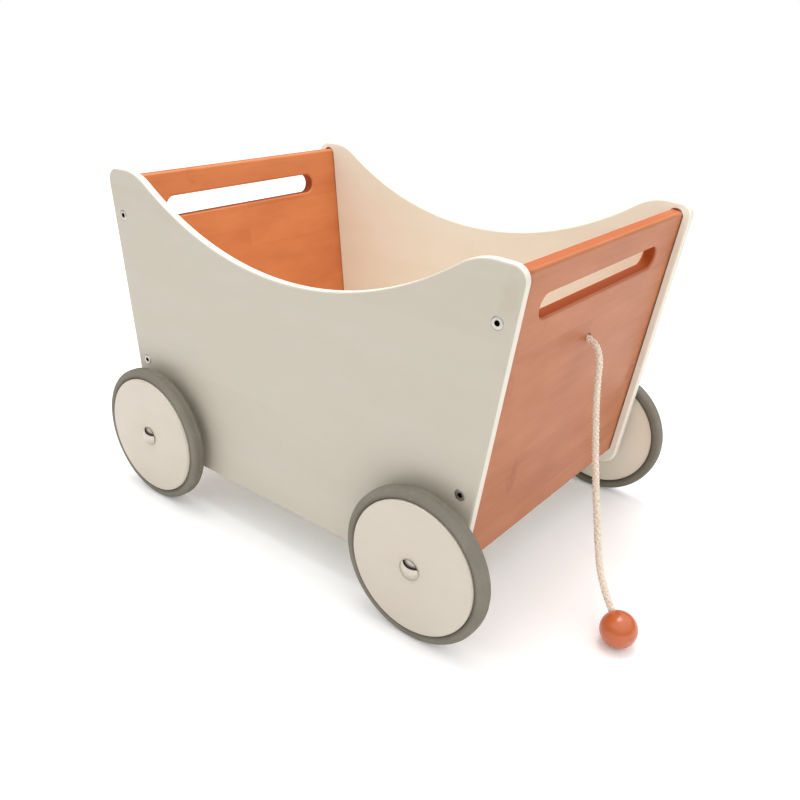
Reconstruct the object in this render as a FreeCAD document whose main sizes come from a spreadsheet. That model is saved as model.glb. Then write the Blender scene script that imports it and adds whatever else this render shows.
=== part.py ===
import FreeCAD, Part
import math
import os
import re
import Sketcher
from FreeCAD import Placement, Rotation, Vector

# A wooden doll wagon in millimetres. +X is the end with the pull cord, +Y is the wagon's left,
# +Z is up. The origin is on the floor, under the middle of the wagon.

DIMENSIONS = {
    # side boards
    "board_thickness": 9.0,
    "inside_width": 287.0,
    "board_base": 44.0,            # height of the lower edge above the floor
    "base_reach": 198.7,           # half length along the lower edge
    "end_slope": 0.1242,           # how far an end leans out for each unit of height
    "crown_reach": 207.0,          # where the top edge is highest
    "crown_height": 330.3,
    "crown_radius": 50.0,
    "crown_fall": 2.5,             # degrees that the edge falls from the crown to the corner
    "corner_radius": 12.0,
    "foot_radius": 16.0,           # of the two lower corners
    "dip_radius": 320.0,
    "edge_round": 2.2,
    # end boards
    "end_thickness": 13.0,
    "end_inset": 14.7,             # the middle of the end board, in from the side board's edge
    "end_base": 60.0,              # the middle of the lower edge
    "end_crest": 322.2,            # the middle of the upper edge
    "end_round": 3.0,
    "groove_depth": 4.0,
    "groove_gap": 1.0,
    "groove_over": 2.0,            # how far the groove runs on past the end board's edges
    "handle_length": 209.0,
    "handle_width": 20.0,
    "handle_level": 287.5,
    "handle_round": 2.2,
    # floor board
    "floor_thickness": 9.0,
    "floor_top": 89.0,
    "floor_gap": 0.25,
    "tongue_thickness": 5.0,
    # bolts through the side boards into the end boards
    "upper_bolt_level": 286.3,
    "lower_bolt_level": 140.3,
    "bolt_radius": 3.0,
    "bolt_length": 18.0,
    "bolt_head_radius": 5.1,
    "bolt_head_height": 2.9,
    "bolt_head_round": 0.8,
    "bolt_socket": 4.0,            # across flats
    "bolt_socket_depth": 3.4,
    "counterbore_radius": 5.2,
    "counterbore_depth": 2.6,
    "insert_radius": 4.5,
    "insert_length": 16.0,
    "hole_gap": 0.15,
    # wheels
    "wheel_radius": 70.0,
    "wheel_reach": 169.5,          # axle to the middle of the wagon
    "wheel_gap": 11.0,             # side board to disc
    "disc_radius": 60.5,
    "disc_width": 13.5,
    "disc_proud": 2.0,             # the disc stands out of its tyre by this much
    "disc_round": 1.8,
    "tyre_round": 2.6,
    "tyre_rib_width": 5.0,
    "tyre_rib_height": 2.0,
    "bush_radius": 6.0,
    "running_gap": 0.05,
    "end_play": 0.3,
    "axle_radius": 4.0,
    "axle_head_radius": 9.5,
    "axle_dome_radius": 12.0,      # of the sphere that the domed head is cut from
    "axle_proud": 1.0,             # the axle's end stands out of its nut by this much
    "spacer_radius": 8.0,
    "washer_radius": 8.0,
    "washer_thickness": 1.6,
    "nut_width": 13.0,             # across flats
    "nut_height": 8.0,
    "nut_collar_radius": 5.6,
    "nut_collar_height": 2.6,
    # pull cord and ball
    "cord_radius": 3.25,
    "cord_level": 235.8,
    "cord_hole_radius": 3.75,
    "knot_radius": 10.5,
    "knot_half_depth": 6.4,
    "knot_centre": 6.0,            # the knot's middle, in from the board's inner face
    "knot_tail": 17.0,
    "ball_radius": 16.0,
    "ball_reach": 309.0,
    "ball_side": -65.0,
    "ball_bore_radius": 3.4,
    "ball_bore_depth": 12.0,
    "overcut": 1.0,                # how far a cutter passes the face that it cuts
}

# The pull cord's route: through the front board, over the edge of its hole, down, and forward
# into the ball that lies on the floor.
CORD_ROUTE = [
    (201.4, 0.0, 236.6),
    (219.0, 0.0, 234.4),
    (231.5, -9.5, 225.0),
    (234.2, -13.6, 206.0),
    (236.9, -16.2, 187.5),
    (241.9, -18.9, 162.0),
    (249.9, -24.8, 128.5),
    (261.4, -31.6, 88.0),
    (272.6, -40.1, 52.5),
    (284.0, -48.2, 36.0),
    (297.8, -57.4, 24.6),
    (306.2, -63.1, 18.2),
]

CORNERS = {
    "front_right": (1, -1),
    "front_left": (1, 1),
    "rear_right": (-1, -1),
    "rear_left": (-1, 1),
}

BEND_SHARE = 0.45                  # how much of a straight run each of its two bends takes up
KNOT_TAIL_TURN = -72               # degrees from the knot's axis, so that the tail hangs down
TOUCH = 1e-4                       # two lengths closer than this are equal

document = FreeCAD.newDocument("doll_wagon")
sheet = document.addObject("Spreadsheet::Sheet", "dimensions")
for row, (alias, value) in enumerate(DIMENSIONS.items(), 1):
    sheet.set(f"A{row}", alias.replace("_", " "))
    sheet.set(f"B{row}", str(value))
    sheet.setAlias(f"B{row}", alias)
document.recompute()

nodes = []


# ---------------------------------------------------------------- sizes

def formula(text):
    """Point each dimension's name at its cell of the sheet."""
    def named(word):
        return f"dimensions.{word[0]}" if word[0] in DIMENSIONS else word[0]

    return re.sub(r"[a-z_]+", named, text)


def size(text):
    """Work a formula out now, in millimetres or degrees."""
    result = sheet.evalExpression(formula(text))
    return float(getattr(result, "Value", result))


def bind(thing, prop, text):
    thing.setExpression(prop, formula(text))


def end_line(level):
    """How far the middle of an end board is from the wagon's middle, at a height."""
    return f"(base_reach + end_slope * ({level} - board_base) - end_inset)"


HALF_INSIDE = "inside_width / 2"
HALF_OUTSIDE = "(inside_width / 2 + board_thickness)"
END_LEAN = "atan(end_slope)"
ACROSS_END = "(end_thickness / (2 * cos(atan(end_slope))))"
GROOVE_RADIUS = "(end_thickness / 2 + groove_gap)"
GRIP = "(inside_width + 2 * (groove_depth - floor_gap))"
FLOOR_BASE = "(floor_top - floor_thickness)"
TONGUE_TOP = "(floor_top - floor_thickness + tongue_thickness)"


# ---------------------------------------------------------------- sketches and features

def new_body(name):
    body = document.addObject("PartDesign::Body", name)
    body.Label = name
    return body


def origin_plane(body, role):
    return next(plane for plane in body.Origin.OriginFeatures if plane.Role == role)


def sketch_on(body, name, role, offset="0"):
    sketch = body.newObject("Sketcher::SketchObject", name)
    sketch.AttachmentSupport = [(origin_plane(body, role), "")]
    sketch.MapMode = "FlatFace"
    bind(sketch, "AttachmentOffset.Base.z", offset)
    return sketch


def set_size(sketch, kind, elements, text):
    """Add a dimension to a sketch and bind it to its formula."""
    value = size(text)
    if kind == "Angle":
        value = math.radians(value)
    index = sketch.addConstraint(Sketcher.Constraint(kind, *elements, value))
    bind(sketch, f"Constraints[{index}]", text)


def tie(sketch, *constraints):
    for constraint in constraints:
        sketch.addConstraint(Sketcher.Constraint(*constraint))


def draw_polygon(sketch, corners):
    """A closed outline of straight lines through corners given as pairs of formulas."""
    first = sketch.GeometryCount
    points = [Vector(size(x), size(y), 0) for x, y in corners]
    for start, end in zip(points, points[1:] + points[:1]):
        sketch.addGeometry(Part.LineSegment(start, end))
    for step, (x, y) in enumerate(corners):
        line = first + step
        tie(sketch, ("Coincident", line, 2, first + (step + 1) % len(corners), 1))
        set_size(sketch, "DistanceX", (line, 1), x)
        set_size(sketch, "DistanceY", (line, 1), y)


def draw_circle(sketch, x, y, radius):
    centre = Vector(size(x), size(y), 0)
    circle = sketch.addGeometry(Part.Circle(centre, Vector(0, 0, 1), size(radius)))
    set_size(sketch, "DistanceX", (circle, 3), x)
    set_size(sketch, "DistanceY", (circle, 3), y)
    set_size(sketch, "Radius", (circle,), radius)


def draw_slot(sketch, low, high, radius):
    """A slot with round ends between two centres given as pairs of formulas."""
    start = Vector(size(low[0]), size(low[1]), 0)
    end = Vector(size(high[0]), size(high[1]), 0)
    width = size(radius)
    lean = math.atan2(end.y - start.y, end.x - start.x)
    side = Vector(-math.sin(lean), math.cos(lean), 0) * width
    quarter = math.pi / 2
    up = Vector(0, 0, 1)
    left = sketch.addGeometry(Part.LineSegment(start + side, end + side))
    right = sketch.addGeometry(Part.LineSegment(start - side, end - side))
    foot = sketch.addGeometry(
        Part.ArcOfCircle(Part.Circle(start, up, width), lean + quarter, lean + 3 * quarter))
    head = sketch.addGeometry(
        Part.ArcOfCircle(Part.Circle(end, up, width), lean - quarter, lean + quarter))
    tie(
        sketch,
        ("Tangent", head, 2, left, 2),
        ("Tangent", head, 1, right, 2),
        ("Tangent", foot, 1, left, 1),
        ("Tangent", foot, 2, right, 1),
        ("Equal", foot, head),
    )
    for arc, (x, y) in ((foot, low), (head, high)):
        set_size(sketch, "DistanceX", (arc, 3), x)
        set_size(sketch, "DistanceY", (arc, 3), y)
    set_size(sketch, "Radius", (foot,), radius)


def add_pad(body, sketch, length, backwards=False, both_ways=False):
    pad = body.newObject("PartDesign::Pad", sketch.Name + "_pad")
    pad.Profile = sketch
    pad.Reversed = backwards
    pad.Midplane = both_ways
    bind(pad, "Length", length)
    document.recompute()
    return pad


def add_pocket(body, sketch, depth=None, backwards=False, both_ways=False):
    """Cut a sketch out of the body. With no depth it goes right through."""
    before = body.Shape.Volume
    pocket = body.newObject("PartDesign::Pocket", sketch.Name + "_pocket")
    pocket.Profile = sketch
    pocket.Reversed = backwards
    pocket.Midplane = both_ways
    if depth is None:
        pocket.Type = "ThroughAll"
    else:
        bind(pocket, "Length", depth)
    document.recompute()
    if body.Shape.Volume > before - TOUCH:
        raise RuntimeError(f"{sketch.Name} cuts nothing")
    return pocket


def add_mirror(body, originals, role):
    mirror = body.newObject("PartDesign::Mirrored", originals[0].Name + "_mirrored")
    mirror.Originals = originals
    mirror.MirrorPlane = (origin_plane(body, role), [""])
    body.Tip = mirror
    document.recompute()
    return mirror


def add_fillet(body, picked, radius):
    """Round every edge of the body that the test picks."""
    base = body.Tip
    names = [f"Edge{index}" for index, edge in enumerate(base.Shape.Edges, 1) if picked(edge)]
    fillet = body.newObject("PartDesign::Fillet", base.Name + "_rounded")
    fillet.Base = (base, names)
    bind(fillet, "Radius", radius)
    document.recompute()
    return fillet


def is_ring(edge, radius, level):
    """Whether an edge is a circle of a radius about the Z axis, at a level."""
    if not isinstance(edge.Curve, Part.Circle):
        return False
    off_radius = abs(edge.Curve.Radius - radius)
    off_level = abs(edge.Curve.Center.z - level)
    return off_radius < TOUCH and off_level < TOUCH


def turned(name, profile, rounds=()):
    """A body turned about its own Z axis, with some of its edges rounded."""
    body = new_body(name)
    sketch = sketch_on(body, name + "_profile", "XZ_Plane")
    draw_polygon(sketch, profile)
    turn = body.newObject("PartDesign::Revolution", name + "_turned")
    turn.Profile = sketch
    axis = next(line for line in body.Origin.OriginFeatures if line.Role == "Z_Axis")
    turn.ReferenceAxis = (axis, [""])
    turn.Angle = 360
    document.recompute()
    for radius, level, rounding in rounds:
        add_fillet(body, lambda edge: is_ring(edge, size(radius), size(level)), rounding)
    return body


def ring_profile(inner, outer, low, high):
    return [(inner, low), (outer, low), (outer, high), (inner, high)]


def add_node(thing, name):
    thing.Label = name
    nodes.append(thing)
    return thing


def cut_socket(name, body, width, depth, top):
    """Cut a hexagon socket into the top of a bolt."""
    hexagon = document.addObject("Part::Prism", name + "_socket")
    hexagon.Polygon = 6
    bind(hexagon, "Circumradius", f"{width} / (2 * cos(30 deg))")
    bind(hexagon, "Height", f"{depth} + overcut")
    bind(hexagon, "Placement.Base.z", f"{top} - {depth}")
    bolt = document.addObject("Part::Cut", name + "_cut")
    bolt.Base = body
    bolt.Tool = hexagon
    document.recompute()
    return bolt


def point_outwards(thing, x, y, level, side):
    """Stand a turned piece on a side board: its own +Z points out of the wagon."""
    thing.Placement = Placement(Vector(), Rotation(Vector(1, 0, 0), -90 * side))
    bind(thing, "Placement.Base.x", x)
    bind(thing, "Placement.Base.y", y)
    bind(thing, "Placement.Base.z", level)


# ---------------------------------------------------------------- the box

def draw_side_outline(sketch):
    """The front half of a side board: slanted end, round corner, crown and half of the dip."""
    base = size("board_base")
    slope = size("end_slope")
    fall = math.radians(size("crown_fall"))
    crown = Vector(size("crown_reach"), size("crown_height - crown_radius"), 0)
    crown_radius = size("crown_radius")
    dip_radius = size("dip_radius")
    corner_radius = size("corner_radius")
    up = Vector(0, 0, 1)

    # The dip and the crown touch where the line of their centres meets both arcs.
    reach = crown_radius + dip_radius
    dip = Vector(0, crown.y + math.sqrt(reach ** 2 - crown.x ** 2), 0)
    meet = crown + (dip - crown) * (crown_radius / reach)
    leave = crown + Vector(math.sin(fall), math.cos(fall), 0) * crown_radius

    # The corner arc lies inside both the falling line and the slanted end.
    falling = Vector(math.cos(fall), -math.sin(fall), 0)
    rising = Vector(slope, 1, 0).normalize()
    foot = Vector(size("base_reach"), base, 0)
    across = foot - leave
    along = (across.x * rising.y - across.y * rising.x) / (falling.x * rising.y - falling.y * rising.x)
    tip = leave + falling * along
    half_turn = rising.getAngle(falling) / 2
    setback = corner_radius * math.tan(half_turn)
    corner_start = tip - falling * setback
    corner_end = tip - rising * setback
    corner = corner_start - Vector(math.sin(fall), math.cos(fall), 0) * corner_radius

    def angle_of(point, centre):
        return math.atan2(point.y - centre.y, point.x - centre.x)

    def arc(centre, radius, start, end):
        circle = Part.Circle(centre, up, radius)
        return sketch.addGeometry(
            Part.ArcOfCircle(circle, angle_of(start, centre), angle_of(end, centre)))

    bottom = sketch.addGeometry(Part.LineSegment(Vector(0, base, 0), foot))
    end = sketch.addGeometry(Part.LineSegment(foot, corner_end))
    round_corner = arc(corner, corner_radius, corner_end, corner_start)
    top = sketch.addGeometry(Part.LineSegment(corner_start, leave))
    shoulder = arc(crown, crown_radius, leave, meet)
    lowest = Vector(0, dip.y - dip_radius, 0)
    hollow = arc(dip, dip_radius, lowest, meet)
    middle = sketch.addGeometry(Part.LineSegment(lowest, Vector(0, base, 0)))
    tie(
        sketch,
        ("Coincident", bottom, 2, end, 1),
        ("Tangent", end, 2, round_corner, 1),
        ("Tangent", round_corner, 2, top, 1),
        ("Tangent", top, 2, shoulder, 1),
        ("Tangent", shoulder, 2, hollow, 2),
        ("Coincident", hollow, 1, middle, 1),
        ("Coincident", middle, 2, bottom, 1),
        ("Horizontal", bottom),
        ("Vertical", middle),
        ("PointOnObject", bottom, 1, -2),
        ("PointOnObject", hollow, 3, -2),
    )
    set_size(sketch, "DistanceY", (bottom, 1), "board_base")
    set_size(sketch, "DistanceX", (bottom, 2), "base_reach")
    set_size(sketch, "Angle", (end,), "90 deg - atan(end_slope)")
    set_size(sketch, "Radius", (round_corner,), "corner_radius")
    set_size(sketch, "Radius", (shoulder,), "crown_radius")
    set_size(sketch, "Radius", (hollow,), "dip_radius")
    set_size(sketch, "DistanceX", (shoulder, 3), "crown_reach")
    set_size(sketch, "DistanceY", (shoulder, 3), "crown_height - crown_radius")
    set_size(sketch, "Angle", (top,), "180 deg - crown_fall * 1 deg")


def make_side_board(name, side):
    """A side board, standing on its own XZ plane with its grooved inner face."""
    body = new_body(name)
    left = side > 0
    outline = sketch_on(body, name + "_outline", "XZ_Plane")
    draw_side_outline(outline)
    half = add_pad(body, outline, "board_thickness", backwards=left)
    add_mirror(body, [half], "YZ_Plane")

    sole = size("board_base") + TOUCH
    reach = size("base_reach") - TOUCH

    def at_foot(edge):
        return edge.BoundBox.ZMax < sole and abs(edge.BoundBox.Center.x) > reach

    def on_face(edge):
        return edge.BoundBox.YLength < TOUCH

    add_fillet(body, at_foot, "foot_radius")
    add_fillet(body, on_face, "edge_round")

    floor_groove = sketch_on(body, name + "_floor_groove", "XZ_Plane")
    floor_end = end_line("floor_top")
    low = f"{FLOOR_BASE} - floor_gap"
    high = f"{TONGUE_TOP} + floor_gap"
    draw_polygon(floor_groove, [
        (f"0 - {floor_end}", low),
        (floor_end, low),
        (floor_end, high),
        (f"0 - {floor_end}", high),
    ])
    add_pocket(body, floor_groove, "groove_depth", backwards=not left)

    end_groove = sketch_on(body, name + "_end_groove", "XZ_Plane")
    setback = f"({GROOVE_RADIUS} - groove_over) * cos({END_LEAN})"
    foot = f"(end_base + {setback})"
    head = f"(end_crest - {setback})"
    draw_slot(end_groove, (end_line(foot), foot), (end_line(head), head), GROOVE_RADIUS)
    cuts = [add_pocket(body, end_groove, "groove_depth", backwards=not left)]

    bores = sketch_on(body, name + "_bores", "XZ_Plane")
    draw_circle(bores, "wheel_reach", "wheel_radius", "axle_radius + hole_gap")
    outer_face = "0 - board_thickness" if left else "board_thickness"
    counterbores = sketch_on(body, name + "_counterbores", "XZ_Plane", outer_face)
    for level in ("upper_bolt_level", "lower_bolt_level"):
        draw_circle(bores, end_line(level), level, "bolt_radius + hole_gap")
        draw_circle(counterbores, end_line(level), level, "counterbore_radius")
    cuts.append(add_pocket(body, bores, backwards=not left))
    cuts.append(add_pocket(body, counterbores, "counterbore_depth", backwards=left))
    add_mirror(body, cuts, "YZ_Plane")
    bind(body, "Placement.Base.y", f"{side} * {HALF_INSIDE}")
    return add_node(body, name)


def make_end_board(name, end, with_cord_hole):
    """An end board, upright in its own frame with its middle plane on YZ, then leaned out."""
    body = new_body(name)
    rise = f"((end_crest - end_base) / cos({END_LEAN}))"
    section = sketch_on(body, name + "_section", "XZ_Plane")
    draw_polygon(section, [
        ("0 - end_thickness / 2", "0"),
        ("end_thickness / 2", "0"),
        ("end_thickness / 2", rise),
        ("0 - end_thickness / 2", rise),
    ])
    add_pad(body, section, GRIP, both_ways=True)
    whole_width = size(GRIP) - TOUCH

    def runs_across(edge):
        return edge.BoundBox.YLength > whole_width

    add_fillet(body, runs_across, "end_round")

    # Levels along the leaned board, measured from its lower edge.
    def along(level):
        return f"(({level} - end_base) / cos({END_LEAN}))"

    handle = sketch_on(body, name + "_handle", "YZ_Plane")
    reach = "(handle_length - handle_width) / 2"
    middle = along("handle_level")
    draw_slot(handle, (f"0 - {reach}", middle), (reach, middle), "handle_width / 2")
    add_pocket(body, handle, both_ways=True)
    half_length = size("handle_length") / 2 + TOUCH
    half_thickness = size("end_thickness") / 2
    handle_low = size(middle) - size("handle_width") / 2 - TOUCH

    def on_handle(edge):
        box = edge.BoundBox
        flat = box.XLength < TOUCH and abs(abs(box.XMin) - half_thickness) < TOUCH
        return flat and box.YMin > -half_length and box.YMax < half_length and box.ZMin > handle_low

    add_fillet(body, on_handle, "handle_round")

    if with_cord_hole:
        cord_hole = sketch_on(body, name + "_cord_hole", "YZ_Plane")
        draw_circle(cord_hole, "0", along("cord_level"), "cord_hole_radius")
        add_pocket(body, cord_hole, both_ways=True)

    bores = sketch_on(body, name + "_insert_bores", "XZ_Plane", f"{GRIP} / 2")
    for level in ("upper_bolt_level", "lower_bolt_level"):
        draw_circle(bores, "0", along(level), "insert_radius")
    add_mirror(body, [add_pocket(body, bores, "insert_length")], "XZ_Plane")

    body.Placement = Placement(Vector(), Rotation(Vector(0, 1, 0), end * size(END_LEAN)))
    bind(body, "Placement.Base.x", f"{end} * {end_line('end_base')}")
    bind(body, "Placement.Base.z", "end_base")
    return add_node(body, name)


def make_floor_board(name):
    """The floor board with a tongue along each side. Its ends lean like the end boards they meet."""
    body = new_body(name)
    steps = {
        "board": ("floor_top", "inside_width - 2 * floor_gap"),
        "tongues": (TONGUE_TOP, GRIP),
    }
    for step, (top, width) in steps.items():
        section = sketch_on(body, f"{name}_{step}", "XZ_Plane")
        low = f"({end_line(FLOOR_BASE)} - {ACROSS_END} - floor_gap)"
        high = f"({end_line(top)} - {ACROSS_END} - floor_gap)"
        draw_polygon(section, [
            (f"0 - {low}", FLOOR_BASE),
            (low, FLOOR_BASE),
            (high, top),
            (f"0 - {high}", top),
        ])
        add_pad(body, section, width, both_ways=True)
    return add_node(body, name)


def make_four(name, original, end):
    """Four copies of a fastener in one node, at the bolt holes of one end of the box."""
    copies = []
    for side in (-1, 1):
        for level in ("upper_bolt_level", "lower_bolt_level"):
            copy = document.addObject("App::Link", f"{name}_{len(copies)}")
            copy.LinkedObject = original
            point_outwards(copy, f"{end} * {end_line(level)}", f"{side} * {HALF_OUTSIDE}", level, side)
            copies.append(copy)
    group = document.addObject("Part::Compound", name)
    group.Links = copies
    return add_node(group, name)


def make_box_fasteners():
    """Bolts with a socket head, and threaded inserts. Their own z is 0 at the outer face."""
    seat = "(0 - counterbore_depth)"
    top = f"({seat} + bolt_head_height)"
    tip = f"({seat} - bolt_length)"
    blank = turned("panel_bolt_blank", [
        ("0", tip),
        ("bolt_radius", tip),
        ("bolt_radius", seat),
        ("bolt_head_radius", seat),
        ("bolt_head_radius", top),
        ("0", top),
    ], [("bolt_head_radius", top, "bolt_head_round")])
    bolt = cut_socket("panel_bolt", blank, "bolt_socket", "bolt_socket_depth", top)
    mouth = "(groove_depth - floor_gap - board_thickness)"
    foot = f"({mouth} - insert_length)"
    insert = turned("panel_insert", ring_profile("bolt_radius", "insert_radius", foot, mouth))
    for end_name, end in (("front", 1), ("rear", -1)):
        make_four(end_name + "_panel_bolts", bolt, end)
        make_four(end_name + "_panel_inserts", insert, end)


# ---------------------------------------------------------------- the wheels

def make_lock_nut(name, low, high):
    """A hexagon nut with a round collar, on the inner end of an axle bolt."""
    hexagon = document.addObject("Part::Prism", name + "_hexagon")
    hexagon.Polygon = 6
    bind(hexagon, "Circumradius", "nut_width / (2 * cos(30 deg))")
    bind(hexagon, "Height", "nut_height - nut_collar_height")
    bind(hexagon, "Placement.Base.z", f"{low} + nut_collar_height")
    collar = document.addObject("Part::Cylinder", name + "_collar")
    bind(collar, "Radius", "nut_collar_radius")
    bind(collar, "Height", "nut_height")
    bind(collar, "Placement.Base.z", low)
    bore = document.addObject("Part::Cylinder", name + "_bore")
    bind(bore, "Radius", "axle_radius + hole_gap")
    bind(bore, "Height", f"{high} - {low} + 2 * overcut")
    bind(bore, "Placement.Base.z", f"{low} - overcut")
    blank = document.addObject("Part::Fuse", name + "_blank")
    blank.Base = hexagon
    blank.Tool = collar
    nut = document.addObject("Part::Cut", name)
    nut.Base = blank
    nut.Tool = bore
    document.recompute()
    return nut


def make_axle(name, low, seat):
    """An axle bolt: a plain shank and a domed head, which is a ball cut flat."""
    shank = document.addObject("Part::Cylinder", name + "_shank")
    bind(shank, "Radius", "axle_radius")
    bind(shank, "Height", f"{seat} - {low} + overcut")
    bind(shank, "Placement.Base.z", low)
    lean = "acos(axle_head_radius / axle_dome_radius)"
    head = document.addObject("Part::Sphere", name + "_head")
    bind(head, "Radius", "axle_dome_radius")
    bind(head, "Angle1", lean)
    bind(head, "Placement.Base.z", f"{seat} - axle_dome_radius * sin({lean})")
    axle = document.addObject("Part::Fuse", name)
    axle.Base = shank
    axle.Tool = head
    document.recompute()
    return axle


def make_wheel(corner, end, side):
    """One wheel and its axle. Each piece's own z is 0 at the side board's outer face."""
    disc_back = "wheel_gap"
    disc_face = "(wheel_gap + disc_width)"
    tyre_back = "(wheel_gap - disc_proud)"
    tyre_face = f"({disc_face} - disc_proud)"
    rib_low = "(wheel_gap + disc_width / 2 - tyre_rib_width / 2)"
    rib_high = "(wheel_gap + disc_width / 2 + tyre_rib_width / 2)"
    rib = "(disc_radius - tyre_rib_height)"
    washer_face = "(0 - board_thickness)"
    nut_face = "(0 - board_thickness - washer_thickness)"
    nut_end = f"({nut_face} - nut_height)"

    disc = turned(f"wheel_disc_{corner}", [
        ("bush_radius", disc_back),
        ("disc_radius", disc_back),
        ("disc_radius", rib_low),
        (rib, rib_low),
        (rib, rib_high),
        ("disc_radius", rib_high),
        ("disc_radius", disc_face),
        ("bush_radius", disc_face),
    ], [("disc_radius", disc_face, "disc_round")])
    tyre = turned(f"tyre_{corner}", [
        ("disc_radius", tyre_back),
        ("wheel_radius", tyre_back),
        ("wheel_radius", tyre_face),
        ("disc_radius", tyre_face),
        ("disc_radius", rib_high),
        (rib, rib_high),
        (rib, rib_low),
        ("disc_radius", rib_low),
    ], [
        ("wheel_radius", tyre_back, "tyre_round"),
        ("wheel_radius", tyre_face, "tyre_round"),
    ])
    bush = turned(f"hub_bush_{corner}",
                  ring_profile("axle_radius + running_gap", "bush_radius", disc_back, disc_face))
    spacer = turned(f"wheel_spacer_{corner}",
                    ring_profile("axle_radius + hole_gap", "spacer_radius", "0", "wheel_gap - end_play"))
    washer = turned(f"axle_washer_{corner}",
                    ring_profile("axle_radius + hole_gap", "washer_radius", nut_face, washer_face))
    nut = make_lock_nut(f"lock_nut_{corner}", nut_end, nut_face)
    axle = make_axle(f"axle_bolt_{corner}", f"({nut_end} - axle_proud)", f"({disc_face} + end_play)")

    pieces = {"wheel_disc": disc, "tyre": tyre, "hub_bush": bush, "wheel_spacer": spacer,
              "axle_washer": washer, "lock_nut": nut, "axle_bolt": axle}
    for piece_name, piece in pieces.items():
        point_outwards(piece, f"{end} * wheel_reach", f"{side} * {HALF_OUTSIDE}", "wheel_radius", side)
        add_node(piece, f"{piece_name}_{corner}")


# ---------------------------------------------------------------- the pull cord

def make_cord(name, route, radius):
    """A tube along straight runs joined by tangent arcs, as large as the runs allow."""
    points = [Vector(*point) for point in route]
    runs = [(end - start).Length for start, end in zip(points, points[1:])]
    edges = []
    radii = []
    here = points[0]
    for index in range(1, len(points) - 1):
        corner = points[index]
        arriving = (corner - points[index - 1]).normalize()
        leaving = (points[index + 1] - corner).normalize()
        setback = BEND_SHARE * min(runs[index - 1], runs[index])
        half_turn = arriving.getAngle(leaving) / 2
        bend = setback / math.tan(half_turn)
        start = corner - arriving * setback
        end = corner + leaving * setback
        inwards = (leaving - arriving).normalize()
        middle = corner + inwards * (bend / math.cos(half_turn) - bend)
        edges.append(Part.LineSegment(here, start).toShape())
        edges.append(Part.Arc(start, middle, end).toShape())
        radii.append(round(bend, 1))
        here = end
    edges.append(Part.LineSegment(here, points[-1]).toShape())
    path = Part.Wire(edges)
    circle = Part.Circle(points[0], points[1] - points[0], radius)
    section = Part.Wire([circle.toShape()])
    tube = path.makePipeShell([section], True, True)
    expected = math.pi * radius ** 2 * path.Length
    print(f"{name}: length {path.Length:.1f}, arc radii {radii}")
    print(f"{name}: volume {tube.Volume:.0f}, section times length {expected:.0f}")
    cord = document.addObject("Part::Feature", name)
    cord.Shape = tube
    return add_node(cord, name)


def make_stop_knot(name):
    """The knot behind the front board: a bun cut flat where it meets the board, and its tail."""
    knot = document.addObject("Part::Ellipsoid", name + "_bun")
    bind(knot, "Radius1", "knot_half_depth")
    bind(knot, "Radius2", "knot_radius")
    bind(knot, "Radius3", "knot_radius")
    bind(knot, "Angle1", "-asin(knot_centre / knot_half_depth)")
    bind(knot, "Placement.Base.z", "knot_centre")
    tail = document.addObject("Part::Cylinder", name + "_tail")
    bind(tail, "Radius", "cord_radius")
    bind(tail, "Height", "knot_tail")
    tail.Placement = Placement(Vector(), Rotation(Vector(0, 1, 0), KNOT_TAIL_TURN))
    bind(tail, "Placement.Base.z", "knot_centre")
    whole = document.addObject("Part::Fuse", name)
    whole.Base = knot
    whole.Tool = tail
    # Its own z points into the box, along the cord's hole.
    whole.Placement = Placement(Vector(), Rotation(Vector(0, 1, 0), size(END_LEAN) - 90))
    axis = end_line("cord_level")
    bind(whole, "Placement.Base.x", f"{axis} - end_thickness / 2 * cos({END_LEAN})")
    bind(whole, "Placement.Base.z", f"cord_level + end_thickness / 2 * sin({END_LEAN})")
    return add_node(whole, name)


def make_ball(name, entry):
    """The wooden ball, with a blind bore that faces the cord."""
    ball = document.addObject("Part::Sphere", name + "_ball")
    bind(ball, "Radius", "ball_radius")
    bore = document.addObject("Part::Cylinder", name + "_bore")
    bind(bore, "Radius", "ball_bore_radius")
    bind(bore, "Height", "ball_bore_depth + overcut")
    bind(bore, "Placement.Base.z", "ball_radius - ball_bore_depth")
    drilled = document.addObject("Part::Cut", name)
    drilled.Base = ball
    drilled.Tool = bore
    centre = Vector(size("ball_reach"), size("ball_side"), size("ball_radius"))
    drilled.Placement = Placement(centre, Rotation(Vector(0, 0, 1), Vector(*entry) - centre))
    return add_node(drilled, name)


# ---------------------------------------------------------------- build, check, write

def check_and_write():
    document.recompute()
    for thing in document.Objects:
        if "Invalid" in thing.State or "Error" in thing.State:
            raise RuntimeError(f"{thing.Name}: {thing.State}")
    os.makedirs("parts", exist_ok=True)
    for node in nodes:
        if node.Shape.isNull() or not node.Shape.isValid():
            raise RuntimeError(f"{node.Label} has no valid shape")
        print(f"{node.Label}: {len(node.Shape.Solids)} solids, {node.Shape.Volume:.1f} mm3")
    for node in nodes:
        node.Shape.exportStep(f"parts/{node.Label}.step")


make_side_board("side_panel_right", -1)
make_side_board("side_panel_left", 1)
make_end_board("front_panel", 1, with_cord_hole=True)
make_end_board("rear_panel", -1, with_cord_hole=False)
make_floor_board("floor_panel")
make_box_fasteners()
for corner, (end, side) in CORNERS.items():
    make_wheel(corner, end, side)
make_cord("pull_cord", CORD_ROUTE, size("cord_radius"))
make_stop_knot("cord_stop_knot")
make_ball("pull_ball", CORD_ROUTE[-2])
check_and_write()
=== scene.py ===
import math

import bmesh
import bpy
from mathutils import Matrix, Vector


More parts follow.
